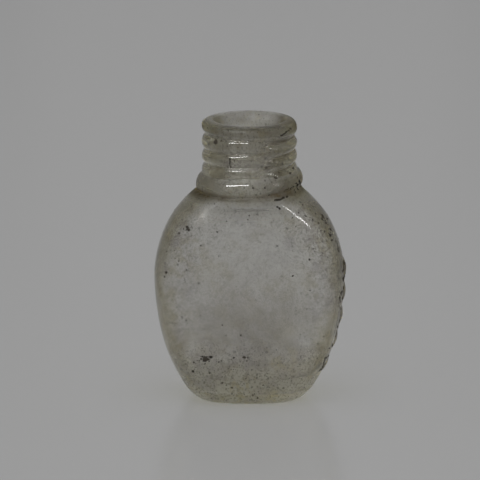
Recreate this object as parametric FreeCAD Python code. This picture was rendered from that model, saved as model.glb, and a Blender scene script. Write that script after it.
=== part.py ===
import FreeCAD, Part
import math
import os

# Small flask-shaped glass bottle with a screw neck, in millimetres.
# The origin is the centre of the base, +Z is up and the front faces -Y.
# The glass is divided where its mould was: two body halves, a base plate and the neck zones.

# Body: an egg-shaped outline seen from the front, and level ovals seen from above
body_height = 48.4          # from the resting ring to the foot of the collar
body_width = 43.6           # across the narrow sides at the widest height
body_depth = 24.0           # from the front to the back
widest_height = 28.0        # height at which the body is widest
base_width = 25.0           # at the base plane, before the heel is rounded
heel_round = 3.0            # rounding of the heel
heel_share = 0.45           # share of that rounding that the sloping narrow sides take
oval_power = 2.7            # fullness of the ovals' corners: 2 is an ellipse, more is squarer

# Glass thickness
side_wall = 1.1             # narrow sides at the widest height
face_wall = 1.4             # front and back
floor_thickness = 2.5       # floor of the bottle
base_height = 5.5           # at which the base plate of the mould parts from the halves
shoulder_wall = 1.0         # between the top of the cavity and the collar
cavity_shelf = 4.4          # top of the cavity beyond the bore, to each side
funnel_shelf = 2.6          # wide end of the funnel beyond the bore, to each side
cavity_round = 6.0          # rounding between the floor and the walls
funnel_height = 2.6         # over which the cavity narrows to the bore

# Shallow hollow under the base
push_up_diameter = 14.0
push_up_depth = 0.8

# Neck and lip
bore_diameter = 12.4
neck_diameter = 20.7        # plain neck between the threads
neck_length = 12.9          # from the body to the underside of the lip
lip_overhang = 0.5          # lip beyond the plain neck
lip_height = 3.2
lip_round = 1.8             # outer top edge of the lip
lip_under_round = 0.9       # outer lower edge of the lip
mouth_round = 2.0           # inner edge of the mouth

# Collar bead below the thread
collar_foot_overhang = 1.55 # foot of the collar beyond the plain neck
collar_bulge = 0.35         # crest of the collar beyond its foot
collar_band_height = 3.4    # bulging band
collar_slope_height = 1.8   # slope from the band in to the neck

# Screw thread, a rounded ridge
thread_height = 0.5         # crest above the plain neck
thread_width = 2.2          # ridge where it leaves the neck
thread_pitch = 3.175
thread_run_in = 0.5         # middle of the lower end below the top of the collar's slope
thread_run_out = 0.2        # middle of the upper end below the lip
thread_start_angle = 120.0  # lower end, in degrees from +X towards +Y

# Plain raised bosses down the narrow side at +X
boss_count = 5
boss_diameter = 4.8
boss_height = 0.5
boss_spacing = 5.65         # from one boss up to the next
boss_first_height = 7.3

# Sizes and heights that follow from these
lip_diameter = neck_diameter + 2 * lip_overhang
collar_foot_diameter = neck_diameter + 2 * collar_foot_overhang
collar_top = body_height + collar_band_height + collar_slope_height
lip_seat = body_height + neck_length
bottle_height = lip_seat + lip_height
body_widths = (base_width, body_width, collar_foot_diameter)
cavity_top = body_height - shoulder_wall
cavity_top_width = bore_diameter + 2 * cavity_shelf
funnel_diameter = bore_diameter + 2 * funnel_shelf

# How closely the lofts follow the outline: shares of the height above the heel, angles round the
# heel, and points round an oval
loft_shares = (0, 0.08, 0.20, 0.34, 0.48, 0.61, 0.72, 0.81, 0.885, 0.945, 1)
heel_turns = [math.radians(degrees) for degrees in (0, 15, 35, 60)]
oval_points = 24

# Working room for cuts, larger than the whole bottle
reach = bottle_height + body_width + body_depth

# How near an edge has to lie to the place that it is looked for
edge_tolerance = 1e-4


def level_box(low, high):
    """A wide box between two heights."""
    corner = FreeCAD.Vector(-reach, -reach, low)
    return Part.makeBox(2 * reach, 2 * reach, high - low, corner)


def upright_cylinder(diameter, low, high):
    """A cylinder on the bottle's axis between two heights."""
    return Part.makeCylinder(diameter / 2, high - low, FreeCAD.Vector(0, 0, low))


def turned(edges):
    """A solid of revolution from the edges of a closed profile in the XZ plane."""
    face = Part.Face(Part.Wire(edges))
    return face.revolve(FreeCAD.Vector(0, 0, 0), FreeCAD.Vector(0, 0, 1), 360)


def upright_half_axis(height, end_half, widest_half):
    """Half axis of an ellipse that narrows from widest_half to end_half over a height."""
    return height / math.sqrt(1 - (end_half / widest_half) ** 2)


def level_circle(shape, diameter, height):
    """The circular edges of a shape that go round the axis with a diameter at a height."""
    centre = FreeCAD.Vector(0, 0, height)
    circles = [edge for edge in shape.Edges if isinstance(edge.Curve, Part.Circle)]
    circles = [edge for edge in circles if edge.Curve.Center.distanceToPoint(centre) < edge_tolerance]
    return [edge for edge in circles if abs(edge.Curve.Radius - diameter / 2) < edge_tolerance]


def stretch_half_axis(height, widths, low, high):
    """Upright half axis of the stretch of an egg outline that a height lies in."""
    low_width, widest, high_width = widths
    if height > widest_height:
        return upright_half_axis(high - widest_height, high_width / 2, widest / 2)
    return upright_half_axis(widest_height - low, low_width / 2, widest / 2)


def outline_width(height, widths, low, high):
    """Width of an egg outline at any height, from its widths at low, widest and high."""
    upright = stretch_half_axis(height, widths, low, high)
    return widths[1] * math.sqrt(1 - ((height - widest_height) / upright) ** 2)


def oval(half_width, half_depth, power, height):
    """Level oval whose corners fill out as the power rises from 2, which is an ellipse.

    It starts at the back, clear of the plane in which the halves part.
    """
    places = []
    for index in range(oval_points):
        turn = math.pi / 2 + 2 * math.pi * index / oval_points
        across, along = math.cos(turn), math.sin(turn)
        swell = (abs(across) ** power + abs(along) ** power) ** (-1 / power)
        places.append(FreeCAD.Vector(half_width * across * swell, half_depth * along * swell, height))
    steps = [index / oval_points for index in range(oval_points + 1)]
    curve = Part.BSplineCurve()
    curve.interpolate(Points=places, PeriodicFlag=True, Parameters=steps)
    return Part.Wire([curve.toShape()])


def rounded_flask(depth, widths, low, high, radius):
    """A flask through level ovals: a quarter turn at the bottom edge, then an egg outline.

    Above half its height, the ovals turn into ellipses towards the top.
    """
    ovals = []
    for turn in heel_turns:
        height = low + radius * (1 - math.cos(turn))
        inset = radius * (1 - math.sin(turn))
        half_width = outline_width(height, widths, low, high) / 2 - heel_share * inset
        ovals.append(oval(half_width, depth / 2 - inset, oval_power, height))
    foot = low + radius
    for share in loft_shares:
        height = foot + share * (high - foot)
        power = oval_power - (oval_power - 2) * max(0, 2 * share - 1) ** 2
        ovals.append(oval(outline_width(height, widths, low, high) / 2, depth / 2, power, height))
    return Part.makeLoft(ovals, True, False)


def outside_of_body():
    """The body's outside, as if it were solid glass."""
    return rounded_flask(body_depth, body_widths, 0, body_height, heel_round)


def cavity():
    """The space inside the body, from the floor up to the shoulder."""
    depth = body_depth - 2 * face_wall
    floor_width = outline_width(floor_thickness, body_widths, 0, body_height) - 2 * side_wall
    widths = (floor_width, body_width - 2 * side_wall, cavity_top_width)
    return rounded_flask(depth, widths, floor_thickness, cavity_top, cavity_round)


def base(outside, hollow):
    """The floor of the bottle, with a shallow hollow below that leaves a flat ring to stand on."""
    plate = outside.common(level_box(0, base_height)).cut(hollow)
    half = push_up_diameter / 2
    radius = (half ** 2 + push_up_depth ** 2) / (2 * push_up_depth)
    return plate.cut(Part.makeSphere(radius, FreeCAD.Vector(0, 0, push_up_depth - radius)))


def body_half(outside, hollow, front):
    """One moulded half of the body, on one side of the parting plane, above the base."""
    corner = FreeCAD.Vector(-reach, -reach if front else 0, base_height)
    side = Part.makeBox(2 * reach, reach, reach, corner)
    return outside.common(side).cut(hollow.common(side)).cut(bore())


def bore():
    """The way through the lip and the neck, with a funnel that widens into the cavity."""
    foot = FreeCAD.Vector(0, 0, cavity_top)
    funnel = Part.makeCone(funnel_diameter / 2, bore_diameter / 2, funnel_height, foot)
    return upright_cylinder(bore_diameter, cavity_top, bottle_height).fuse(funnel)


def neck_tube():
    """Plain tube from the body up to the lip."""
    tube = upright_cylinder(neck_diameter, body_height, lip_seat)
    return tube.cut(bore())


def lip_ring():
    """Rounded ring at the mouth."""
    ring = upright_cylinder(lip_diameter, lip_seat, bottle_height)
    ring = ring.cut(bore())
    for diameter, height, radius in (
        (lip_diameter, bottle_height, lip_round),
        (lip_diameter, lip_seat, lip_under_round),
        (bore_diameter, bottle_height, mouth_round),
    ):
        ring = ring.makeFillet(radius, level_circle(ring, diameter, height))
    return ring


def collar_bead():
    """Bulging band on the shoulder that slopes in to the neck."""
    neck = neck_diameter / 2
    foot = collar_foot_diameter / 2
    band_top = body_height + collar_band_height
    inner_low = FreeCAD.Vector(neck, 0, body_height)
    outer_low = FreeCAD.Vector(foot, 0, body_height)
    crest = FreeCAD.Vector(foot + collar_bulge, 0, body_height + collar_band_height / 2)
    outer_high = FreeCAD.Vector(foot, 0, band_top)
    inner_high = FreeCAD.Vector(neck, 0, collar_top)
    return turned([
        Part.makeLine(inner_low, outer_low),
        Part.Arc(outer_low, crest, outer_high).toShape(),
        Part.makeLine(outer_high, inner_high),
        Part.makeLine(inner_high, inner_low),
    ])


def screw_thread(neighbours):
    """Rounded ridge wound round the neck, right-handed, cut to seat on its neighbours."""
    root = neck_diameter / 2
    crest = root + thread_height
    sunk = root - thread_height
    radius = ((thread_width / 2) ** 2 + thread_height ** 2) / (2 * thread_height)
    half = math.sqrt(radius ** 2 - (sunk - (crest - radius)) ** 2)
    low = FreeCAD.Vector(sunk, 0, -half)
    high = FreeCAD.Vector(sunk, 0, half)
    ridge = Part.Arc(low, FreeCAD.Vector(crest, 0, 0), high).toShape()
    profile = Part.Wire([ridge, Part.makeLine(high, low)])
    low_end = collar_top - thread_run_in
    high_end = lip_seat - thread_run_out
    path = Part.Wire(Part.makeHelix(thread_pitch, high_end - low_end, root))
    wound = path.makePipeShell([profile], True, True)
    wound.rotate(FreeCAD.Vector(0, 0, 0), FreeCAD.Vector(0, 0, 1), thread_start_angle)
    wound.translate(FreeCAD.Vector(0, 0, low_end))
    for neighbour in neighbours:
        wound = wound.cut(neighbour)
    return wound


def side_bosses(outside):
    """Low round bosses standing on the narrow side at +X, square to its outline."""
    radius = ((boss_diameter / 2) ** 2 + boss_height ** 2) / (2 * boss_height)
    bosses = []
    for index in range(boss_count):
        height = boss_first_height + index * boss_spacing
        rise = height - widest_height
        half = outline_width(height, body_widths, 0, body_height) / 2
        upright = stretch_half_axis(height, body_widths, 0, body_height)
        square = FreeCAD.Vector(half / (body_width / 2) ** 2, 0, rise / upright ** 2)
        square.normalize()
        centre = FreeCAD.Vector(half, 0, height) - square * (radius - boss_height)
        bosses.append(Part.makeSphere(radius, centre).cut(outside))
    return Part.makeCompound(bosses)


outside = outside_of_body()
hollow = cavity()
neck = neck_tube()
lip = lip_ring()
collar = collar_bead()
nodes = {
    "base": base(outside, hollow),
    "body_front": body_half(outside, hollow, True),
    "body_back": body_half(outside, hollow, False),
    "neck_tube": neck,
    "collar_bead": collar,
    "screw_thread": screw_thread((neck, collar, lip)),
    "lip_ring": lip,
    "side_bosses": side_bosses(outside),
}

os.makedirs("parts", exist_ok=True)
for name, shape in nodes.items():
    shape.exportStep(os.path.join("parts", name + ".step"))
    print(name, len(shape.Solids), shape.isValid(), round(shape.Volume, 2))
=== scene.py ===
import math

import bpy
import numpy as np
from mathutils import Matrix, Vector


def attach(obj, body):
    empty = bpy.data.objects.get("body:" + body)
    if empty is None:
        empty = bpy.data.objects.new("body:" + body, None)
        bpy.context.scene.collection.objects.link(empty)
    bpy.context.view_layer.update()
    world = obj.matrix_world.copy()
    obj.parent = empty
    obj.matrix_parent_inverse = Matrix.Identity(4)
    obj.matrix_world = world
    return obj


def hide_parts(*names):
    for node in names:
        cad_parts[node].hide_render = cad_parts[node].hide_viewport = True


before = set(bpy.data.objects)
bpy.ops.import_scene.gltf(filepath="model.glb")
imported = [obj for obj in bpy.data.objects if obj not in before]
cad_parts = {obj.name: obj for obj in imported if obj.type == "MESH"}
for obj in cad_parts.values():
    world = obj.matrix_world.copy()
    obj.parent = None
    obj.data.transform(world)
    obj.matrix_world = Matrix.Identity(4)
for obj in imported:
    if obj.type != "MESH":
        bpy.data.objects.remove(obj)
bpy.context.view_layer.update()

MM = 0.001

# Outside of the body, in millimetres
BODY_TOP = 48.4
WIDEST = 28.0                   # height of the widest part
HALF_DEPTH = 12.0
OUTSIDE = (12.5, 21.8, 11.9)    # half widths at the base, the widest height and the collar
HEEL = 3.0                      # rounding where the side meets the underside
HEEL_SHARE = 0.45               # how much of it the sloping narrow sides take
OVAL_POWER = 2.7                # fullness of the ovals' corners, 2 is an ellipse
SHOULDER_DIP = 0.5              # how far the front and back dip in towards the collar
DIP_START = 43.0                # height where they start to dip
OUTSIDE_ROUNDS = (47.6, 48.7)   # heights between which the outside goes from oval to round

# Inside of the body
FLOOR = 2.5
CAVITY_TOP = 47.4
CAVITY_DEPTH = 10.6
INSIDE = (13.42, 20.7, 10.6)    # half widths at the floor, the widest height and the funnel
CAVITY_ROUND = 6.0              # rounding where the walls meet the floor
INSIDE_ROUNDS = (44.9, 47.7)    # heights between which the inside goes from oval to round
FUNNEL_GAP = 0.1                # the walls start this far below the cavity's top
BORE = 6.2

# Shallow hollow under the base
PUSH_UP = 0.8
PUSH_UP_RADIUS = 7.0
UNDERSIDE = 0.01                # rows of the outside below this height are the underside

# Neck, lip and collar, as (radius, height) up the outside and down into the bore
NECK = 10.12
TOP = 64.5
NECK_LINE = [
    (11.5, 48.75), (11.95, 49.1), (12.15, 49.6), (12.19, 50.2), (12.12, 50.8), (11.9, 51.4), (11.6, 52.0),
    (10.95, 52.55), (NECK, 53.0), (NECK, 61.45), (10.55, 61.85), (10.8, 62.4), (10.86, 63.0), (10.72, 63.6),
    (10.35, 64.1), (9.8, 64.4), (9.1, TOP), (8.3, TOP), (7.3, 64.1), (6.6, 63.3), (BORE, 62.4),
    (BORE, 60.0),
]
# Bore, funnel and ceiling of the cavity, from the top down
BORE_LINE = [(BORE, 59.8), (BORE, 50.2), (8.8, 47.6), (10.3, 47.45)]
OUTER_RADIUS = 9.0              # rows narrower than this on the neck are in the bore
# Lean of the collar and the lip, and the heights where it starts, is full, begins to fade and ends
COLLAR_LEAN = 0.6               # the collar's crest is higher on the right, lower on the left
COLLAR_BELT = (47.6, 49.0, 52.0, 54.0)
COLLAR_RADIUS = 12.0
LIP_LEAN = -0.28                # the lip's crest is lower on the right
LIP_BELT = (58.8, 60.8, 63.2, 64.4)

# Screw thread
THREAD_LOW = 52.45
THREAD_HIGH = 60.9
THREAD_PITCH = 3.175
THREAD_HEIGHT = 0.72
THREAD_START = math.radians(120.0)
THREAD_ENDS = (THREAD_LOW - 0.6, THREAD_LOW + 0.2, THREAD_HIGH - 0.8, THREAD_HIGH + 0.4)
THREAD_RUN_IN = (THREAD_LOW - 1.6, THREAD_LOW - 0.2)
THREAD_ROWS = (THREAD_LOW - 2.0, THREAD_HIGH + 1.6)     # lowest and highest rows it may move
RIGHT_MIDDLE = math.radians(20.0)   # middle of the mould half whose turns stand half a pitch off
HALVES_BLEND = 0.3                  # how far the two halves blend, as a cosine

# Bosses down the narrow side at +X: height of the lowest, and the step up to each of the others
BOSS_HEIGHTS = 7.3 + 5.65 * np.arange(5)
BOSS_RADIUS = 2.4
BOSS_RISE = 0.5

# Slow unevenness of the glass, as a sum of waves, and the heights between which it sets in and ends
WAVES = 9
WAVE_RATES = (0.6, 1.6)         # least and most waves in the length asked for
OUTER_WAVE = 0.05
OUTER_SINK = 1.6                # the outer waves are sunk by this many times their height
INNER_WAVE = 0.16
NECK_WAVE = 0.35                # share of the inner waves that is left in the neck
OUTER_SETS_IN, INNER_SETS_IN = (2.0, 6.0), (4.2, 8.0)
WAVES_END = (44.0, 47.0)

# Fineness of the glass mesh
AROUND = 240                    # points round the bottle
CROWDING = 1.25                 # how much they crowd towards the narrow sides
UNDERSIDE_ROWS = 13
HEEL_ROWS = 14
OUTER_POINTS = 400              # points of the outer wall's line before it is softened
OUTER_STEP, OUTER_SOFTNESS = 0.19, 0.16
PLAIN_WALL_TOP = 47.2           # below this height only one row of the wall in so many is kept
PLAIN_WALL_ROWS = 3
INNER_POINTS = 300
INNER_STEP, INNER_SOFTNESS = 0.42, 1.0
INNER_HEEL_ROWS = 18
FLOOR_ROWS = 10

# Camera: a long lens a little above the bottle, with the size of a pixel at its target
PIXEL = 0.2284
FRAME_PIXELS = 480.0
ELEVATION = math.radians(13.3)
DISTANCE = 1233.0
TARGET = np.array([-9.3 * PIXEL, 0.0, 36.2])
SENSOR_WIDTH = 36.0

# Point that the strip lamps face, in metres
LIGHT_AIM = Vector((0.0, 0.0, 0.04))

# Tone of the room: seen plainly, through glass and in reflections
ROOM_TONE = 0.5
ROOM_THROUGH_GLASS = 0.36
ROOM_IN_REFLECTIONS = 0.235
BOUNCES = 36                    # of a ray in the glass

# Colours, as red, green, blue and opacity
CLEAN_GLASS = (0.985, 0.982, 0.970, 1.0)
GREY_FILM = (0.62, 0.595, 0.565, 1.0)
WARM_STAIN = (0.66, 0.61, 0.46, 1.0)
COOL_STAIN = (0.63, 0.60, 0.62, 1.0)
FINE_GRAIN = (0.31, 0.29, 0.25, 1.0)
OLIVE_STAIN = (0.80, 0.75, 0.50, 1.0)
# Brown of the dirt, also used as painted shade in the crease under the collar and along the narrow sides
BROWN_DIRT_AND_SHADE = (0.11, 0.062, 0.012, 1.0)
DARK_SPECKS = (0.05, 0.045, 0.035, 1.0)
THICK_GLASS = (0.62, 0.59, 0.30, 1.0)
SHADOW_GLASS = (0.985, 0.985, 0.98, 1.0)
# Colours of the crumbs, which are soil and, in some rows, painted shade
DARK_SOIL_AND_SHADE = (0.022, 0.019, 0.015, 1.0)
PALE_SOIL_AND_SHADE = (0.060, 0.050, 0.036, 1.0)
GREY_PAPER = (0.368, 0.368, 0.368, 1.0)
DULL_BROWN = 0.35                # roughness that the brown dirt and painted shade add

# Larger grains of soil on the front, as (pixel across, pixel down, radius in pixels)
SOIL_SPOTS = [
    (216, 142, 2.2), (215, 142.8, 1.2), (217, 142.8, 1.2), (216, 140.5, 1.2), (293, 168, 1.5),
    (276, 178, 1.6), (290, 173, 1.2), (212, 179, 0.9), (253, 188, 1.0), (265, 188, 0.9), (269, 195, 1.0),
    (188, 227, 1.9), (189, 229, 1.4), (186, 229, 1.0), (179, 233, 1.2), (166, 272, 1.4), (165, 277, 1.0),
    (279, 209, 1.3), (278, 207, 1.0), (309, 259, 1.2), (292, 277, 1.1), (204, 359, 2.3), (206, 360, 1.9),
    (210, 357, 1.7), (202, 358, 1.3), (234, 357, 1.2), (245, 358, 1.4), (247, 357, 0.9), (193, 371, 1.4),
    (250, 215, 0.7), (248, 219, 0.6), (323, 217, 1.9), (322, 220, 1.5), (330, 229, 1.5), (331, 236, 1.5),
    (321, 231, 0.9), (323, 252, 0.9), (200, 246, 0.7), (218, 257, 0.6), (187, 270, 0.7), (167, 251, 0.8),
    (175, 257, 0.7), (179, 262, 0.6), (194, 363, 0.9), (219, 361, 0.9), (209, 374, 0.8), (240, 336, 0.8),
    (227, 335, 0.6), (222, 382, 0.9), (231, 388, 0.8), (263, 385, 0.8), (258, 398, 0.9), (217, 231, 0.7),
    (227, 221, 0.6), (306, 217, 0.9), (292, 219, 0.9), (303, 205, 0.8), (318, 222, 0.9), (326, 223, 1.2),
    (328, 226, 0.9), (325, 233, 1.0), (316, 214, 0.8), (327, 218, 1.1), (333, 241, 1.0), (319, 227, 0.7),
    (310, 211, 0.7), (313, 219, 0.8), (299, 212, 0.7), (296, 226, 0.7), (299, 181, 1.3), (300, 186, 1.4),
    (297, 188, 1.3), (296, 183, 1.0), (298, 178, 1.0), (294, 190, 1.1), (293, 186, 0.8), (300, 183, 1.2),
    (298.5, 190, 1.2), (297.5, 185, 1.3), (295.5, 192, 0.9), (291, 189, 0.6),
]
# Spots above this radius have smaller grains beside them: how many, how far off and how large, in radii
LARGE_SPOT = 1.25
GRAINS_BESIDE = 4
BESIDE_STRAY = 1.3
BESIDE_SIZES = (0.2, 0.5)
# Rows of grains, as (pixel across and down at one end, the same at the other, count, radius).
# The three rows along the crease under the collar, about pixel down 194 to 201, and the row on the
# lip's right from (281, 136) are dark crumbs put as painted shade; the rows that start right of
# pixel 320, down the right edge, are partly grains and partly painted shade.
SOIL_AND_SHADE_STROKES = [
    (223, 144, 223, 152, 8, 0.35), (281, 136, 291, 129, 12, 0.9), (278, 147, 294, 140, 12, 0.35),
    (280, 157, 295, 152, 12, 0.35), (273, 167, 295, 162, 16, 0.35), (284, 191, 300, 184, 14, 0.6),
    (198.5, 181, 199, 192, 14, 0.4), (202, 184, 203, 194, 10, 0.35), (199, 194.5, 230, 198.5, 28, 0.35),
    (230, 198.5, 268, 197, 32, 0.3), (230, 158, 230.5, 167, 7, 0.9), (275, 200.5, 287, 197, 12, 1.1),
    (337, 242, 338.5, 254, 8, 1.0), (343.5, 260, 343.5, 281, 14, 1.4), (338, 264, 338, 282, 9, 0.6),
    (342, 288, 341, 299, 8, 1.4), (340, 299, 339, 308, 6, 1.0), (340.5, 317, 336, 335, 12, 1.0),
    (337.5, 318, 334.5, 332, 8, 0.6), (332, 344, 331, 348, 4, 1.1), (327.5, 354, 321, 371, 13, 1.3),
]
# Right of this pixel the rows lie on the narrow side, where their grains stray more, in radii
EDGE_PIXEL = 318
EDGE_STRAY, ROW_STRAY = 0.75, 0.25
# Small grains at random on the body's wall: their count, radii, and where they stop
SCATTERED = 160
SCATTERED_SIZES = (0.05, 0.15)
SCATTER_LOW, SCATTER_HIGH, SCATTER_SIDE = 1.5, 47.0, 21.0
# Shape of the grains, and the least cosine towards the camera of a point that gets one
GRAIN_FLATNESS = 0.4
GRAIN_REACH = (0.6, 1.7)        # least and largest distance of a corner, in radii
GRAIN_LIMIT = 0.38              # how far grains may stand out past the widest part
FACING = 0.04

# Grains in the glass's material, as (cells to a metre, least and largest radius, share of cells)
PAINTED_GRAINS = ((2100.0, 0.2, 0.5, 0.9), (1000.0, 0.16, 0.42, 0.75), (420.0, 0.10, 0.25, 0.45))


def smooth_step(low, high, value):
    """0 below low, 1 above high, and 3 t^2 - 2 t^3 between them."""
    t = np.clip((value - low) / (high - low), 0.0, 1.0)
    return t * t * (3.0 - 2.0 * t)


def belt(value, start, full, last, end):
    """1 from full to last, easing to 0 at start and end."""
    return smooth_step(start, full, value) * (1.0 - smooth_step(last, end, value))


def bell(value, middle, spread):
    """A bell curve: exp(-((v - middle) / spread)^2)."""
    return np.exp(-((value - middle) / spread) ** 2)


def blot(grid, middle, spread):
    """A soft spot on the front and back: exp(-((x - mx) / sx)^2 - ((z - mz) / sz)^2)."""
    return np.exp(-((grid[..., 0] - middle[0]) / spread[0]) ** 2
                  - ((grid[..., 2] - middle[1]) / spread[1]) ** 2)


def egg_half_width(height, halves, low, high):
    """Half width of an egg outline: w * sqrt(1 - ((z - widest) / axis)^2).

    The axis above and below the widest height is the one that meets the half width at that end.
    """
    low_half, widest_half, high_half = halves
    upper = (high - WIDEST) / math.sqrt(1.0 - (high_half / widest_half) ** 2)
    lower = (WIDEST - low) / math.sqrt(1.0 - (low_half / widest_half) ** 2)
    axis = np.where(height > WIDEST, upper, lower)
    return widest_half * np.sqrt(np.maximum(1.0 - ((height - WIDEST) / axis) ** 2, 0.0))


def oval_power(height, low, high):
    """Power of the level ovals: full in the lower half, easing to 2 (an ellipse) at the top."""
    share = (height - low) / (high - low)
    return OVAL_POWER - (OVAL_POWER - 2.0) * np.clip(2.0 * share - 1.0, 0.0, 1.0) ** 2


def oval_radius(angle, half_width, half_depth, power):
    """Distance from the axis to an oval: (|cos a / w|^n + |sin a / d|^n)^(-1/n)."""
    across = np.abs(np.cos(angle) / half_width) ** power
    along = np.abs(np.sin(angle) / half_depth) ** power
    return (across + along) ** (-1.0 / power)


def softened(points, step, softness):
    """A polyline in (radius, height) at even steps, its corners rounded by a bell-shaped mean."""
    points = np.asarray(points, float)
    run = np.concatenate([[0.0], np.cumsum(np.hypot(*np.diff(points, axis=0).T))])
    fine = 0.02
    places = np.arange(0.0, run[-1], fine)
    line = np.stack([np.interp(places, run, points[:, axis]) for axis in (0, 1)], 1)
    reach = int(4 * softness / fine)
    weights = np.exp(-0.5 * (np.arange(-reach, reach + 1) * fine / softness) ** 2)
    weights /= weights.sum()
    start = line[:1] - (line[1:2] - line[:1]) * np.arange(reach, 0, -1)[:, None]
    end = line[-1:] + (line[-1:] - line[-2:-1]) * np.arange(1, reach + 1)[:, None]
    padded = np.concatenate([start, line, end])
    line = np.stack([np.convolve(padded[:, axis], weights, "valid") for axis in (0, 1)], 1)
    return line[:: max(1, int(round(step / fine)))]


def thread_rise(angle, height):
    """Height of the thread over the neck: lobes that are arcs of a circle, with sharp notches.

    A lobe is sqrt(R^2 - d^2) - (R - h), where d is the distance in height to the nearest turn of a
    right-handed helix, h the lobe's height and R its arc's radius. The lobe fades at both ends of the
    helix. The turns of the mould's right half stand half a pitch off.
    """
    rise = np.zeros(np.broadcast(angle, height).shape)
    right = smooth_step(-HALVES_BLEND, HALVES_BLEND, np.cos(angle - RIGHT_MIDDLE))
    turn = np.mod(angle - THREAD_START, 2.0 * math.pi) / (2.0 * math.pi)
    arc = ((0.5 * THREAD_PITCH) ** 2 + THREAD_HEIGHT ** 2) / (2.0 * THREAD_HEIGHT)
    for share, shift in ((1.0 - right, 0.0), (right, 0.5)):
        base = THREAD_LOW + THREAD_PITCH * (turn + shift)
        turns = np.round((height - base) / THREAD_PITCH)
        crest = base + turns * THREAD_PITCH
        lobe = np.sqrt(arc ** 2 - (height - crest) ** 2) - (arc - THREAD_HEIGHT)
        fade = belt(crest, *THREAD_ENDS)
        rise = rise + lobe * fade * share
    return rise * smooth_step(*THREAD_RUN_IN, height)


def mesh_from_grid(name, grid, first_pole, last_pole):
    """A closed mesh from rows of points round an axis, with a fan to a pole at each end."""
    rows, around = grid.shape[:2]
    places = np.concatenate([grid.reshape(-1, 3), [first_pole, last_pole]])
    index = np.arange(rows * around).reshape(rows, around)
    turned = np.roll(index, -1, axis=1)
    quads = np.stack([index[:-1], turned[:-1], turned[1:], index[1:]], -1).reshape(-1, 4)
    pole = np.full(around, rows * around)
    first = np.stack([pole, turned[0], index[0]], -1)
    last = np.stack([index[-1], turned[-1], pole + 1], -1)
    corners = np.concatenate([first.ravel(), last.ravel(), quads.ravel()])
    sizes = np.concatenate([np.full(2 * around, 3), np.full(len(quads), 4)])
    mesh = bpy.data.meshes.new(name)
    mesh.vertices.add(len(places))
    mesh.vertices.foreach_set("co", (places * MM).ravel())
    mesh.loops.add(len(corners))
    mesh.loops.foreach_set("vertex_index", corners)
    mesh.polygons.add(len(sizes))
    mesh.polygons.foreach_set("loop_start", np.concatenate([[0], np.cumsum(sizes)[:-1]]))
    mesh.polygons.foreach_set("use_smooth", np.ones(len(sizes), bool))
    mesh.update(calc_edges=True)
    mesh.validate()
    return mesh


def point_values(mesh, name, values):
    """A value for each vertex of a mesh, kept as a named attribute."""
    attribute = mesh.attributes.new(name, "FLOAT", "POINT")
    attribute.data.foreach_set("value", np.asarray(values, float).ravel())


def glass_rows():
    """Rows of the glass skin from the underside, up the outside and down the inside.

    Each row has a half width, a height, a half depth, a power, a share of roundness (1 is a
    circle), a scale towards the axis, and a side (1 outside, -1 inside).
    """
    rows = []

    def add(width, height, depth, power=OVAL_POWER, round_share=0.0, scale=1.0, side=1.0):
        count = len(width)
        values = (width, height, depth, power, round_share, scale, side)
        rows.append(np.stack([np.broadcast_to(np.asarray(v, float), (count,)) for v in values], 1))

    # Underside, from near the middle out to the resting ring
    scale = np.linspace(0.0, 1.0, UNDERSIDE_ROWS + 1)[1:]
    width = np.full(len(scale), OUTSIDE[0] - HEEL_SHARE * HEEL)
    add(width, 0.0, HALF_DEPTH - HEEL, scale=scale)

    # Heel, a quarter turn from the resting ring to the walls
    turn = np.linspace(0.0, 0.5 * math.pi, HEEL_ROWS + 1)[1:]
    height = HEEL * (1.0 - np.cos(turn))
    inset = HEEL * (1.0 - np.sin(turn))
    width = egg_half_width(height, OUTSIDE, 0.0, BODY_TOP) - HEEL_SHARE * inset
    add(width, height, HALF_DEPTH - inset)

    # Outside walls, collar, neck, lip and bore as one softened profile
    wall = np.linspace(HEEL, BODY_TOP, OUTER_POINTS)
    wall_line = np.stack([egg_half_width(wall, OUTSIDE, 0.0, BODY_TOP), wall], 1)
    outer_line = softened(np.concatenate([wall_line, NECK_LINE]), OUTER_STEP, OUTER_SOFTNESS)
    plain = outer_line[:, 1] < PLAIN_WALL_TOP
    keep = ~plain
    keep[plain] = np.arange(plain.sum()) % PLAIN_WALL_ROWS == 0
    width, height = outer_line[keep].T
    height = np.minimum(height, TOP)
    power = oval_power(height, HEEL, BODY_TOP)
    depth = HALF_DEPTH - SHOULDER_DIP * smooth_step(DIP_START, BODY_TOP, height)
    add(width, height, depth, power, smooth_step(*OUTSIDE_ROUNDS, height))

    # Bore, funnel and inside walls as one softened profile
    wall = np.linspace(CAVITY_TOP - FUNNEL_GAP, FLOOR + CAVITY_ROUND, INNER_POINTS)
    wall_line = np.stack([egg_half_width(wall, INSIDE, FLOOR, CAVITY_TOP), wall], 1)
    width, height = softened(np.concatenate([BORE_LINE, wall_line]), INNER_STEP, INNER_SOFTNESS).T
    power = oval_power(height, FLOOR + CAVITY_ROUND, CAVITY_TOP)
    add(width, height, CAVITY_DEPTH, power, smooth_step(*INSIDE_ROUNDS, height), side=-1.0)

    # Inside heel and floor
    turn = np.linspace(0.5 * math.pi, 0.0, INNER_HEEL_ROWS + 1)[1:]
    height = FLOOR + CAVITY_ROUND * (1.0 - np.cos(turn))
    inset = CAVITY_ROUND * (1.0 - np.sin(turn))
    width = egg_half_width(height, INSIDE, FLOOR, CAVITY_TOP) - HEEL_SHARE * inset
    add(width, height, CAVITY_DEPTH - inset, side=-1.0)
    scale = np.linspace(1.0, 0.0, FLOOR_ROWS + 2)[1:-1]
    add(np.full(len(scale), width[-1]), FLOOR, CAVITY_DEPTH - CAVITY_ROUND, scale=scale, side=-1.0)
    return np.concatenate(rows)


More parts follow.
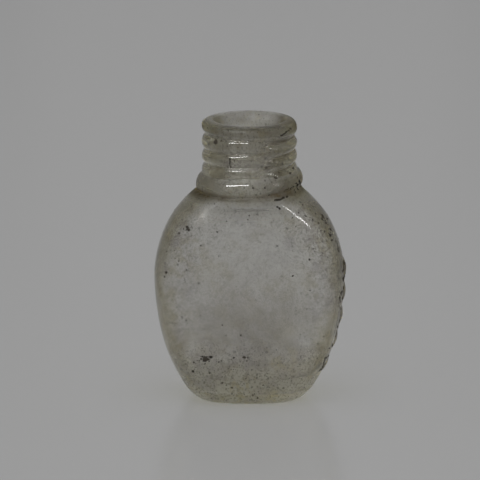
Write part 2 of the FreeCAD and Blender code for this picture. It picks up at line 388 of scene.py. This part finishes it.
def surface_normals(grid):
    """Unit normals of a grid of points: the cross product of its steps around and along."""
    around = np.roll(grid, -1, axis=1) - np.roll(grid, 1, axis=1)
    along = np.gradient(grid, axis=0)
    normal = np.cross(around, along)
    return normal / np.maximum(np.linalg.norm(normal, axis=2, keepdims=True), 1e-9)


def uneven(grid, seed, length):
    """Slow unevenness about 0: a sum of sine waves of random direction, phase and length."""
    draw = np.random.default_rng(seed)
    total = np.zeros(grid.shape[:2])
    for _ in range(WAVES):
        wave = draw.normal(size=3)
        wave *= draw.uniform(*WAVE_RATES) / (length * np.linalg.norm(wave))
        total += np.sin(grid @ wave * 2.0 * math.pi + draw.uniform(0.0, 2.0 * math.pi))
    return total / math.sqrt(WAVES)


def boss_gap(grid):
    """Distance from each point to the middle of the nearest boss."""
    halves = egg_half_width(BOSS_HEIGHTS, OUTSIDE, 0.0, BODY_TOP)
    gaps = [np.linalg.norm(grid - np.array([half, 0.0, height]), axis=2)
            for half, height in zip(halves, BOSS_HEIGHTS)]
    return np.min(gaps, axis=0)


def boss_rise(grid):
    """Height of the bosses over the narrow side at +X: a dome h (1 - (r / R)^2) about each."""
    return BOSS_RISE * np.maximum(1.0 - (boss_gap(grid) / BOSS_RADIUS) ** 2, 0.0)


def glass_grid():
    """The skin of the bottle as rows of points round the axis, with their normals and sides.

    A point is at the oval's radius in its direction, blended to a circle at the neck, or at the
    thread's radius where that is larger: max(a, b) rounded to (a + b + sqrt((a - b)^2 + c)) / 2.
    The collar and lip lean a little from left to right. Bosses and slow unevenness then move each
    point along its normal.
    """
    columns = [column[:, None] for column in glass_rows().T]
    width, height, depth, power, round_share, scale, side = columns
    angle = np.linspace(0.0, 2.0 * math.pi, AROUND, endpoint=False)[None, :]
    angle = np.arctan2(np.sin(angle), CROWDING * np.cos(angle))
    outer = side > 0.0
    radius = oval_radius(angle, width, depth, power)
    radius = (1.0 - round_share) * radius + round_share * width
    lowest, highest = THREAD_ROWS
    on_neck = outer & (width > OUTER_RADIUS) & (height > lowest) & (height < highest)
    gap = radius - NECK - thread_rise(angle, height)
    rounded = 0.02
    radius = radius - np.where(on_neck, 0.5 * (gap - np.sqrt(gap ** 2 + rounded)), 0.0)
    radius = radius * scale
    hollow = np.maximum(1.0 - (radius / PUSH_UP_RADIUS) ** 2, 0.0)
    lift = PUSH_UP * np.where(outer & (height < UNDERSIDE), hollow, 0.0)
    lean = COLLAR_LEAN * belt(height, *COLLAR_BELT) + LIP_LEAN * belt(height, *LIP_BELT)
    lean = np.where(outer, lean, 0.0) * np.cos(angle)
    grid = np.stack([radius * np.cos(angle), radius * np.sin(angle), height + lift + lean], 2)
    normal = surface_normals(grid)
    outer_wave = OUTER_WAVE * (uneven(grid, seed=11, length=16.0) - OUTER_SINK)
    inner_wave = INNER_WAVE * uneven(grid, seed=12, length=13.0)
    outer_wave = outer_wave * smooth_step(*OUTER_SETS_IN, height)
    inner_wave = inner_wave * smooth_step(*INNER_SETS_IN, height)
    in_body = 1.0 - smooth_step(*WAVES_END, height)
    shift = np.where(outer, boss_rise(grid), 0.0)
    shift = shift + np.where(outer, outer_wave * in_body,
                             inner_wave * (NECK_WAVE + (1.0 - NECK_WAVE) * in_body))
    grid = grid + normal * shift[:, :, None]
    return grid, normal, np.broadcast_to(side, radius.shape)


# The shares that follow say where dirt lies, and brown_share also where shade is painted. Heights and
# widths are in millimetres, and the weights were set one by one.


def soil_share(grid, side):
    """How much soil clings at each point, 0 to 1.

    Most is low down, then on the narrow sides, on the neck (more on its front), at the shoulders and
    in a patch on either shoulder. The inside has a fifth of what the outside has.
    """
    x, y, z = np.moveaxis(grid, 2, 0)
    low = 1.0 - smooth_step(5.0, 17.0, z)
    shoulder = belt(z, 36.0, 43.0, 48.0, 50.0)
    sides = smooth_step(11.0, 19.0, np.abs(x)) * (1.0 - smooth_step(46.0, 49.0, z))
    neck = smooth_step(48.0, 50.0, z) * (1.0 - 0.5 * smooth_step(-3.0, 2.0, y))
    right_patch = blot(grid, middle=(16.0, 40.0), spread=(5.0, 6.0))
    left_patch = blot(grid, middle=(-14.0, 38.0), spread=(5.0, 6.0))
    share = 0.27 + 0.7 * low + 0.08 * shoulder + 0.3 * sides + 0.3 * neck
    share = share + 0.5 * right_patch + 0.25 * left_patch
    return np.clip(share, 0.0, 1.0) * np.where(side > 0.0, 1.0, 0.2)


def in_mouth(grid):
    """1 inside the mouth's rim and 0 outside it."""
    x, y, z = np.moveaxis(grid, 2, 0)
    return (1.0 - smooth_step(7.6, 8.6, np.hypot(x, y))) * smooth_step(50.0, 55.0, z)


def film_share(grid, side):
    """Thickness of the grey film at each point, 0 to 1: a broad stain, the foot and the mouth."""
    z = grid[..., 2]
    stain = blot(grid, middle=(0.5, 15.5), spread=(14.0, 8.0))
    low = (1.0 - smooth_step(3.0, 15.0, z)) * np.where(side > 0.0, 0.32, 0.0)
    foot = 0.95 * (1.0 - smooth_step(1.0, 5.0, z)) + 0.15 * (1.0 - smooth_step(4.0, 8.5, z))
    foot = np.where(side > 0.0, foot, 0.0)
    return np.clip(0.06 + 0.95 * stain + low + foot + 0.95 * in_mouth(grid), 0.0, 1.0)


def brown_share(grid, normal, side):
    """Brown dirt and painted shade at each outer point, 0 to 1, more of it on the right.

    Dirt lies round the collar's sides, in the thread's grooves, round the lip, about the foot and on
    the crown of each boss. The darkening in the crease under the collar is painted shade, and that
    along the narrow sides and on the sides of the neck is partly dirt and partly painted shade.
    """
    x, y, z = np.moveaxis(grid, 2, 0)
    # Painted shade: the crease under the collar is darkened
    crease = bell(z, 48.7 + COLLAR_LEAN * x / COLLAR_RADIUS, 1.0)
    band = belt(z, 47.5, 49.0, 51.5, 53.5)
    round_sides = smooth_step(4.0, 11.0, np.abs(x))
    threaded = belt(z, 52.5, 53.5, 60.6, 61.4)
    groove = (1.0 - thread_rise(np.arctan2(y, x), z) / THREAD_HEIGHT) ** 4
    right = smooth_step(2.0, 9.0, x)
    lip = smooth_step(60.6, 61.6, z)
    total = 0.85 * crease + band * round_sides * (0.75 + 0.25 * np.sign(x))
    total = total + threaded * ((0.35 + 0.5 * right) * groove + 0.22 * right)
    total = total + lip * (0.1 + round_sides * (0.22 + 0.15 * np.sign(x)))
    gap = boss_gap(grid)
    on_boss = np.maximum(bell(gap, BOSS_RADIUS, 0.45), 0.8 * bell(gap, 0.0, 0.7 * BOSS_RADIUS))
    total = total + 0.65 * on_boss * smooth_step(0.0, 8.0, x)
    # Darker along the narrow sides and the sides of the neck: partly dirt, partly painted shade
    sideways = np.abs(normal[..., 1])
    edge = (1.0 - smooth_step(0.12, 0.5, sideways)) * (1.0 - smooth_step(45.0, 47.0, z))
    edge = edge * smooth_step(1.0, 5.0, z) * smooth_step(5.0, 11.0, np.abs(x))
    rim = (1.0 - smooth_step(0.05, 0.4, sideways)) * smooth_step(48.0, 49.5, z)
    total = total + (0.38 + 0.12 * np.sign(x)) * edge + (0.3 + 0.1 * np.sign(x)) * rim
    return np.clip(np.where(side > 0.0, total, 0.0), 0.0, 1.0)


def olive_share(grid, normal):
    """Olive stain at each point, 0 to 1: on the narrow sides and the sides of the neck."""
    x, _, z = np.moveaxis(grid, 2, 0)
    edge = 1.0 - smooth_step(0.2, 0.8, np.abs(normal[..., 1]))
    return 0.75 * edge * smooth_step(6.0, 12.0, np.abs(x)) * smooth_step(3.0, 8.0, z)


def dullness(grid, side):
    """Roughness at each point.

    Outside, the shoulders and neck are clear, the body and foot duller, and the crease under the
    collar, the lip and the mouth are dull. The inside is clouded, most at its floor and ceiling.
    """
    x, _, z = np.moveaxis(grid, 2, 0)
    body = 1.0 - smooth_step(34.0, 40.0, z)
    outer = 0.05 + 0.08 * body + 0.4 * (1.0 - smooth_step(1.0, 9.0, z))
    outer = outer + 0.45 * bell(z, 47.6, 1.3) + 0.45 * bell(z, 63.2, 0.8)
    outer = outer + (0.6 - outer) * in_mouth(grid)
    floor = 1.0 - smooth_step(FLOOR + 0.5, FLOOR + 9.0, z)
    ceiling = belt(z, 42.5, 45.0, 49.0, 51.0) * (1.0 - smooth_step(7.0, 11.0, np.abs(x)))
    inner = 0.2 + 0.55 * floor + 0.6 * ceiling + 0.35 * smooth_step(58.0, 60.0, z)
    return np.where(side > 0.0, outer, inner)


def gloss_share(grid, side):
    """How much of a clear gloss lies over the surface, 0 to 1.

    There is none inside, in the mouth, on the lip, in the crease under the collar and underneath.
    """
    z = grid[..., 2]
    crease = bell(z, 48.0, 0.9)
    lip = bell(z, 63.3, 0.8)
    gloss = (1.0 - in_mouth(grid)) * (1.0 - crease) * (1.0 - lip)
    return np.where(side > 0.0, gloss, 0.0) * smooth_step(0.4, 1.5, z)


def to_pixels(places):
    """Where points in space come to lie in the picture, from the camera's own numbers."""
    view = np.array([0.0, math.cos(ELEVATION), -math.sin(ELEVATION)])
    up = np.array([0.0, math.sin(ELEVATION), math.cos(ELEVATION)])
    offset = places - TARGET
    depth = DISTANCE + offset @ view
    focal = DISTANCE / PIXEL
    middle = 0.5 * FRAME_PIXELS
    return np.stack([middle + focal * offset[..., 0] / depth, middle - focal * (offset @ up) / depth], -1)


def nearest_front_points(grid, normal, side, spots):
    """Index of the outer, camera-facing grid point that lies nearest each spot of the picture."""
    toward = np.array([0.0, -math.cos(ELEVATION), math.sin(ELEVATION)])
    facing = np.nonzero((side.ravel() > 0.0) & (normal.reshape(-1, 3) @ toward > FACING))[0]
    pixels = to_pixels(grid.reshape(-1, 3)[facing])
    gaps = np.linalg.norm(pixels[None] - spots[:, None, :2], axis=2)
    return facing[np.argmin(gaps, axis=1)]


def soil_and_shade_spots(draw):
    """Grains as (pixel across, pixel down, radius): the spots, grains beside the large ones, the rows,
    some of which are painted shade.
    """
    rows = np.concatenate([
        np.stack([np.linspace(x0, x1, count), np.linspace(y0, y1, count), np.full(count, size)], 1)
        for x0, y0, x1, y1, count, size in SOIL_AND_SHADE_STROKES])
    stray = np.where(rows[:, :1] > EDGE_PIXEL, EDGE_STRAY, ROW_STRAY) * rows[:, 2:]
    rows[:, :2] += stray * draw.normal(size=(len(rows), 2))
    large = np.repeat([spot for spot in SOIL_SPOTS if spot[2] > LARGE_SPOT], GRAINS_BESIDE, axis=0)
    stray = np.column_stack([draw.normal(0.0, BESIDE_STRAY, (len(large), 2)), np.zeros(len(large))])
    beside = large + large[:, 2:] * stray
    beside[:, 2] *= draw.uniform(*BESIDE_SIZES, len(large))
    return np.concatenate([np.array(SOIL_SPOTS), beside, rows])


def scattered_points(draw, grid, side):
    """Index of random points on the outside of the body, likelier where more soil clings."""
    x, _, z = np.moveaxis(grid, 2, 0)
    on_body = (side > 0.0) & (z > SCATTER_LOW) & (z < SCATTER_HIGH) & (np.abs(x) < SCATTER_SIDE)
    chance = ((soil_share(grid, side) * on_body) ** 2).ravel()
    return draw.choice(chance.size, SCATTERED, replace=False, p=chance / chance.sum())


def crumb_mesh(grid, normal, side):
    """Crumbs of soil on the outside, some in rows of painted shade: squashed twenty-faced lumps, half
    sunk in the surface.

    Each corner is at place + size * reach * (t a + b c + s n d): the corner (a, c, d) of a regular
    twenty-faced solid along two tangents t, b and the normal n, squashed by s, with a random reach.
    """
    draw = np.random.default_rng(5)
    spots = soil_and_shade_spots(draw)
    placed = nearest_front_points(grid, normal, side, spots)
    scattered = scattered_points(draw, grid, side)
    sizes = np.concatenate([spots[:, 2] * PIXEL, draw.uniform(*SCATTERED_SIZES, len(scattered))])
    chosen = np.concatenate([placed, scattered])
    up = normal.reshape(-1, 3)[chosen]
    first = np.cross(up, draw.normal(size=up.shape))
    first /= np.linalg.norm(first, axis=1, keepdims=True)
    second = np.cross(up, first)
    golden = 0.5 * (1.0 + math.sqrt(5.0))
    corners = np.array([
        (-1, golden, 0), (1, golden, 0), (-1, -golden, 0), (1, -golden, 0), (0, -1, golden), (0, 1, golden),
        (0, -1, -golden), (0, 1, -golden), (golden, 0, -1), (golden, 0, 1), (-golden, 0, -1), (-golden, 0, 1),
    ]) / math.hypot(1.0, golden)
    faces = np.array([
        (0, 11, 5), (0, 5, 1), (0, 1, 7), (0, 7, 10), (0, 10, 11), (1, 5, 9), (5, 11, 4), (11, 10, 2),
        (10, 7, 6), (7, 1, 8), (3, 9, 4), (3, 4, 2), (3, 2, 6), (3, 6, 8), (3, 8, 9), (4, 9, 5),
        (2, 4, 11), (6, 2, 10), (8, 6, 7), (9, 8, 1),
    ])
    reach = draw.uniform(*GRAIN_REACH, (len(chosen), len(corners)))
    lumps = (corners[None, :, 0:1] * first[:, None] + corners[None, :, 1:2] * second[:, None]
             + GRAIN_FLATNESS * corners[None, :, 2:3] * up[:, None])
    places = grid.reshape(-1, 3)[chosen][:, None] + lumps * (reach * sizes[:, None])[..., None]
    places[..., 0] = np.minimum(places[..., 0], OUTSIDE[1] + GRAIN_LIMIT)
    indices = faces[None] + len(corners) * np.arange(len(chosen))[:, None, None]
    mesh = bpy.data.meshes.new("soil_and_shade_crumbs")
    mesh.from_pydata((places.reshape(-1, 3) * MM).tolist(), [], indices.reshape(-1, 3).tolist())
    return mesh


def link(name, mesh, material):
    """A new object at the origin with one material."""
    piece = bpy.data.objects.new(name, mesh)
    bpy.context.scene.collection.objects.link(piece)
    mesh.materials.append(material)
    return piece


def feed(tree, socket, value):
    """Set an input from a number, a colour or another node's output."""
    if isinstance(value, bpy.types.NodeSocket):
        tree.links.new(value, socket)
    else:
        socket.default_value = value


def math_node(tree, operation, *values):
    """The result of one step of arithmetic on two or three values."""
    made = tree.nodes.new("ShaderNodeMath")
    made.operation = operation
    for socket, value in zip(made.inputs, values):
        feed(tree, socket, value)
    return made.outputs[0]


def ramp(tree, value, low, high, start, end):
    """A value that goes smoothly from start to end while another goes from low to high."""
    made = tree.nodes.new("ShaderNodeMapRange")
    made.interpolation_type = "SMOOTHSTEP"
    for socket, given in zip(made.inputs, (value, low, high, start, end)):
        feed(tree, socket, given)
    return made.outputs[0]


def mixed(tree, share, first, second, blend="MIX"):
    """One colour mixed with another by a share."""
    made = tree.nodes.new("ShaderNodeMix")
    made.data_type = "RGBA"
    made.blend_type = blend
    # The colours are this node's inputs 6 and 7 and its output 2
    feed(tree, made.inputs[0], share)
    feed(tree, made.inputs[6], first)
    feed(tree, made.inputs[7], second)
    return made.outputs[2]


def noise(tree, place, scale, detail, roughness):
    """Soft random values about a half."""
    made = tree.nodes.new("ShaderNodeTexNoise")
    feed(tree, made.inputs["Vector"], place)
    made.inputs["Scale"].default_value = scale
    made.inputs["Detail"].default_value = detail
    made.inputs["Roughness"].default_value = roughness
    return made.outputs["Fac"]


def attribute_value(tree, name):
    """The value of a mesh's named attribute."""
    made = tree.nodes.new("ShaderNodeAttribute")
    made.attribute_name = name
    return made.outputs["Fac"]


def object_place(tree):
    """The place on the object, in metres."""
    return tree.nodes.new("ShaderNodeTexCoord").outputs["Object"]


def soil_grain_group():
    """Masks of soil: separate grains of three sizes, and a patchy cloud.

    A grain is the disc round a random cell point whose radius is drawn for its cell, and a cell has
    a grain when its other random draw is below the amount of soil.
    """
    group = bpy.data.node_groups.new("soil_grain", "ShaderNodeTree")
    group.interface.new_socket("Position", in_out="INPUT", socket_type="NodeSocketVector")
    group.interface.new_socket("Amount", in_out="INPUT", socket_type="NodeSocketFloat")
    group.interface.new_socket("Specks", in_out="OUTPUT", socket_type="NodeSocketFloat")
    group.interface.new_socket("Cloud", in_out="OUTPUT", socket_type="NodeSocketFloat")
    given = group.nodes.new("NodeGroupInput")
    result = group.nodes.new("NodeGroupOutput")
    place, amount = given.outputs["Position"], given.outputs["Amount"]
    wobble = group.nodes.new("ShaderNodeTexNoise")
    feed(group, wobble.inputs["Vector"], place)
    wobble.inputs["Scale"].default_value = 2600.0
    shifted = group.nodes.new("ShaderNodeVectorMath")
    shifted.operation = "MULTIPLY_ADD"
    group.links.new(wobble.outputs["Color"], shifted.inputs[0])
    shifted.inputs[1].default_value = (0.0004, 0.0004, 0.0004)
    group.links.new(place, shifted.inputs[2])
    patches = noise(group, place, scale=130.0, detail=2.0, roughness=0.5)
    clumps = ramp(group, patches, low=0.4, high=0.62, start=0.2, end=1.7)
    specks = 0.0
    for scale, least, most, share in PAINTED_GRAINS:
        cells = group.nodes.new("ShaderNodeTexVoronoi")
        feed(group, cells.inputs["Vector"], shifted.outputs["Vector"])
        cells.inputs["Scale"].default_value = scale
        draw = group.nodes.new("ShaderNodeSeparateColor")
        group.links.new(cells.outputs["Color"], draw.inputs["Color"])
        radius = math_node(group, "MULTIPLY_ADD", draw.outputs[0], most - least, least)
        inner = math_node(group, "MULTIPLY", radius, 0.45)
        disc = ramp(group, cells.outputs["Distance"], low=inner, high=radius, start=1.0, end=0.0)
        chance = math_node(group, "MULTIPLY", math_node(group, "MULTIPLY", amount, share), clumps)
        present = math_node(group, "LESS_THAN", draw.outputs[1], chance)
        strength = math_node(group, "MULTIPLY_ADD", draw.outputs[2], 0.7, 0.3)
        grain = math_node(group, "MULTIPLY", math_node(group, "MULTIPLY", disc, present), strength)
        specks = math_node(group, "MAXIMUM", specks, grain)
    broad = noise(group, place, scale=85.0, detail=3.0, roughness=0.55)
    fine = noise(group, place, scale=420.0, detail=4.0, roughness=0.65)
    blend = math_node(group, "MULTIPLY_ADD", fine, 0.4, math_node(group, "MULTIPLY", broad, 0.6))
    cloud = ramp(group, blend, low=0.36, high=0.64, start=0.0, end=1.0)
    group.links.new(specks, result.inputs["Specks"])
    group.links.new(cloud, result.inputs["Cloud"])
    return group


def soil_masks(tree, amount):
    """The soil grain group in a material, fed with the place and an amount of soil."""
    made = tree.nodes.new("ShaderNodeGroup")
    made.node_tree = SOIL_GRAIN
    feed(tree, made.inputs["Position"], object_place(tree))
    feed(tree, made.inputs["Amount"], amount)
    return made.outputs["Specks"], made.outputs["Cloud"]


def new_material(name):
    """A material with its node tree, Principled shader and output."""
    material = bpy.data.materials.new(name)
    material.use_nodes = True
    tree = material.node_tree
    tree.nodes.clear()
    output = tree.nodes.new("ShaderNodeOutputMaterial")
    shader = tree.nodes.new("ShaderNodeBsdfPrincipled")
    tree.links.new(shader.outputs["BSDF"], output.inputs["Surface"])
    return material, tree, shader, output


def glass_tint(tree, specks, cloud):
    """Colour of the glass's surface: film, stains, fine grain, olive, brown dirt with painted shade
    and specks in turn.
    """
    place = object_place(tree)
    soil = attribute_value(tree, "soil")
    patchy = math_node(tree, "MULTIPLY_ADD", cloud, 0.75, 0.25)
    streaky = math_node(tree, "MULTIPLY_ADD", cloud, 0.3, 0.7)
    blotchy = math_node(tree, "MULTIPLY_ADD", cloud, 0.5, 0.6)
    film = math_node(tree, "MULTIPLY", attribute_value(tree, "film"), patchy)
    olive = math_node(tree, "MULTIPLY", attribute_value(tree, "olive"), streaky)
    brown = math_node(tree, "MULTIPLY", attribute_value(tree, "brown"), blotchy)
    hue = ramp(tree, noise(tree, place, scale=140.0, detail=2.0, roughness=0.5),
               low=0.42, high=0.6, start=0.0, end=1.0)
    mottle = ramp(tree, noise(tree, place, scale=330.0, detail=4.0, roughness=0.7),
                  low=0.46, high=0.6, start=0.0, end=math_node(tree, "MULTIPLY", soil, 1.5))
    grain = ramp(tree, noise(tree, place, scale=1900.0, detail=2.0, roughness=0.6),
                 low=0.50, high=0.66, start=0.0, end=math_node(tree, "MULTIPLY_ADD", soil, 0.8, 0.2))
    tint = mixed(tree, film, CLEAN_GLASS, GREY_FILM)
    tint = mixed(tree, mottle, tint, mixed(tree, hue, WARM_STAIN, COOL_STAIN))
    tint = mixed(tree, grain, tint, FINE_GRAIN)
    tint = mixed(tree, olive, tint, OLIVE_STAIN, "MULTIPLY")
    # Brown dirt, with painted shade in the crease under the collar and along the narrow sides
    tint = mixed(tree, brown, tint, BROWN_DIRT_AND_SHADE)
    return mixed(tree, specks, tint, DARK_SPECKS)


def glass_material():
    """Clear olive-tinted glass with a patchy grey film, grains of soil and a dull inside.

    Shadow rays and diffuse rays go straight through, so that the glass throws a pale shadow.
    A clear coat gives the outside its sharp highlights over the dull film.
    """
    material, tree, shader, output = new_material("weathered_glass")
    path = tree.nodes.new("ShaderNodeLightPath")
    clear = tree.nodes.new("ShaderNodeBsdfTransparent")
    clear.inputs["Color"].default_value = SHADOW_GLASS
    either = tree.nodes.new("ShaderNodeMixShader")
    outward = math_node(tree, "MAXIMUM", path.outputs["Is Shadow Ray"], path.outputs["Is Diffuse Ray"])
    tree.links.new(outward, either.inputs[0])
    tree.links.new(shader.outputs["BSDF"], either.inputs[1])
    tree.links.new(clear.outputs["BSDF"], either.inputs[2])
    tree.links.new(either.outputs["Shader"], output.inputs["Surface"])
    amount = math_node(tree, "MULTIPLY_ADD", attribute_value(tree, "soil"), 1.2, -0.2)
    specks, cloud = soil_masks(tree, amount)
    feed(tree, shader.inputs["Base Color"], glass_tint(tree, specks, cloud))
    dull = attribute_value(tree, "dull")
    feed(tree, shader.inputs["Roughness"], math_node(tree, "MULTIPLY_ADD", cloud, 0.05, dull))
    bump = tree.nodes.new("ShaderNodeBump")
    bump.inputs["Strength"].default_value = 0.25
    bump.inputs["Distance"].default_value = 0.0002
    waves = noise(tree, object_place(tree), scale=300.0, detail=2.0, roughness=0.5)
    feed(tree, bump.inputs["Height"], waves)
    feed(tree, shader.inputs["Normal"], bump.outputs["Normal"])
    most_coat = 0.7
    coat = math_node(tree, "MULTIPLY", attribute_value(tree, "gloss"), most_coat)
    feed(tree, shader.inputs["Coat Weight"], coat)
    shader.inputs["Coat Roughness"].default_value = 0.06
    shader.inputs["IOR"].default_value = 1.5
    shader.inputs["Transmission Weight"].default_value = 1.0
    absorb = tree.nodes.new("ShaderNodeVolumeAbsorption")
    absorb.inputs["Color"].default_value = THICK_GLASS
    absorb.inputs["Density"].default_value = 40.0
    tree.links.new(absorb.outputs["Volume"], output.inputs["Volume"])
    return material


def crumb_material():
    """Dry dark soil, patchy brown and grey, also on the crumbs that stand for painted shade."""
    material, tree, shader, _ = new_material("dry_soil_and_shade")
    _, cloud = soil_masks(tree, 1.0)
    feed(tree, shader.inputs["Base Color"], mixed(tree, cloud, DARK_SOIL_AND_SHADE, PALE_SOIL_AND_SHADE))
    shader.inputs["Roughness"].default_value = 0.95
    return material


def floor_material():
    """Plain grey paper with a soft sheen."""
    material, _, shader, _ = new_material("grey_sweep")
    shader.inputs["Base Color"].default_value = GREY_PAPER
    shader.inputs["Roughness"].default_value = 0.22
    return material


def sweep_mesh():
    """Floor and backdrop in one: a strip of paper, level at first, that curves up behind the bottle."""
    half_width, bend_start, bend_radius, top = 90.0, 700.0, 600.0, 3000.0
    across = np.linspace(-half_width, half_width, 9)
    bend = np.linspace(0.0, 0.5 * math.pi, 25)
    level = [-3500.0, -500.0, 300.0]
    y = np.concatenate([level, bend_start + bend_radius * np.sin(bend), [bend_start + bend_radius]])
    z = np.concatenate([np.zeros(len(level)), bend_radius * (1.0 - np.cos(bend)), [top]])
    x_grid, y_grid = np.meshgrid(across, y)
    z_grid = np.broadcast_to(z[:, None], x_grid.shape)
    places = np.stack([x_grid, y_grid, z_grid], 2).reshape(-1, 3) * MM
    index = np.arange(x_grid.size).reshape(x_grid.shape)
    faces = np.stack([index[:-1, :-1], index[:-1, 1:], index[1:, 1:], index[1:, :-1]], -1).reshape(-1, 4)
    mesh = bpy.data.meshes.new("sweep")
    mesh.from_pydata(places.tolist(), [], faces.tolist())
    mesh.polygons.foreach_set("use_smooth", np.ones(len(faces), bool))
    return mesh


def direction(azimuth, elevation):
    """Unit vector towards an azimuth, from the front (-Y) towards +X, and an elevation in degrees."""
    turn, rise = math.radians(azimuth), math.radians(elevation)
    return Vector((math.sin(turn) * math.cos(rise), -math.cos(turn) * math.cos(rise), math.sin(rise)))


def strip_light(name, first, last, distance, breadth, power):
    """A straight strip of light between two directions, each (azimuth, elevation), facing the bottle.

    It makes highlights only and doesn't light matt surfaces. Lengths are in metres.
    """
    ends = [direction(*end) * distance for end in (first, last)]
    middle = 0.5 * (ends[0] + ends[1])
    back = middle.normalized()
    along = (ends[1] - ends[0]).normalized()
    across = back.cross(along)
    lamp = bpy.data.lights.new(name, "AREA")
    lamp.shape = "RECTANGLE"
    lamp.size, lamp.size_y = (ends[1] - ends[0]).length, breadth
    lamp.energy = power
    holder = bpy.data.objects.new(name, lamp)
    turned = Matrix((along, across, back)).transposed()
    holder.matrix_world = Matrix.Translation(middle + LIGHT_AIM) @ turned.to_4x4()
    holder.visible_diffuse = False
    bpy.context.scene.collection.objects.link(holder)


def top_light(name, place, size, power):
    """A square softbox overhead that lights the matt surfaces only, so that it makes no highlight."""
    lamp = bpy.data.lights.new(name, "AREA")
    lamp.size = size
    lamp.energy = power
    holder = bpy.data.objects.new(name, lamp)
    holder.location = place
    holder.visible_glossy = False
    holder.visible_transmission = False
    bpy.context.scene.collection.objects.link(holder)


def place_camera():
    """The camera looks down at the front from its elevation and distance."""
    lens = bpy.data.cameras.new("photo_camera")
    lens.sensor_width = SENSOR_WIDTH
    lens.lens = lens.sensor_width * DISTANCE / (FRAME_PIXELS * PIXEL)
    lens.clip_start, lens.clip_end = 0.05, 50.0
    camera = bpy.data.objects.new("photo_camera", lens)
    offset = Vector((0.0, -math.cos(ELEVATION), math.sin(ELEVATION))) * DISTANCE * MM
    camera.location = Vector(TARGET) * MM + offset
    camera.rotation_euler = (-offset).to_track_quat("-Z", "Y").to_euler()
    bpy.context.scene.collection.objects.link(camera)
    bpy.context.scene.camera = camera


def light_room():
    """A plain grey room whose tone depends on whether it is seen plainly, through glass or reflected."""
    world = bpy.data.worlds.new("room")
    bpy.context.scene.world = world
    world.use_nodes = True
    room = world.node_tree
    seen, through, reflected = [(tone, tone, tone, 1.0)
                                for tone in (ROOM_TONE, ROOM_THROUGH_GLASS, ROOM_IN_REFLECTIONS)]
    path = room.nodes.new("ShaderNodeLightPath")
    tone = mixed(room, path.outputs["Is Transmission Ray"], seen, through)
    tone = mixed(room, path.outputs["Is Glossy Ray"], tone, reflected)
    room.links.new(tone, room.nodes["Background"].inputs["Color"])


SOIL_GRAIN = soil_grain_group()

grid, normal, side = glass_grid()
underside_middle = (0.0, 0.0, PUSH_UP)
floor_middle = (0.0, 0.0, FLOOR)
glass_mesh = mesh_from_grid("glass_wall", grid, underside_middle, floor_middle)
# Brown dirt, with painted shade in the crease under the collar and along the narrow sides
brown = brown_share(grid, normal, side)
# Each look of the glass, point by point, and at the middle of the underside and of the floor
for look, values, at_middles in (
    ("soil", soil_share(grid, side), (0.3, 0.2)),
    ("film", film_share(grid, side), (0.5, 0.3)),
    ("brown", brown, (0.0, 0.0)),
    ("olive", olive_share(grid, normal), (0.0, 0.0)),
    ("dull", dullness(grid, side) + DULL_BROWN * brown, (0.6, 0.82)),
    ("gloss", gloss_share(grid, side) * (1.0 - brown), (0.0, 0.0)),
):
    point_values(glass_mesh, look, np.concatenate([values.ravel(), at_middles]))
glass = link("glass_wall", glass_mesh, glass_material())
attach(glass, "root")
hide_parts("base", "body_front", "body_back", "neck_tube", "collar_bead",
            "screw_thread", "lip_ring", "side_bosses")

# Crumbs of soil, some in rows that are painted shade
crumbs = link("soil_and_shade_crumbs", crumb_mesh(grid, normal, side), crumb_material())
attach(crumbs, "root")

sweep = link("sweep", sweep_mesh(), floor_material())

light_room()
top_light("top_softbox", place=(0.0, -0.4, 1.9), size=1.6, power=20.9)
strip_light("left_strip", first=(-58.0, 30.0), last=(-6.0, 42.0), distance=1.6, breadth=0.12, power=6.8)
strip_light("right_strip", first=(55.0, 28.0), last=(69.0, 16.0), distance=1.7, breadth=0.05, power=1.0)

place_camera()
bpy.context.scene.view_settings.view_transform = "Standard"
paths = bpy.context.scene.cycles
paths.max_bounces = BOUNCES
paths.glossy_bounces = BOUNCES
paths.transmission_bounces = BOUNCES
paths.caustics_refractive = False
paths.caustics_reflective = False
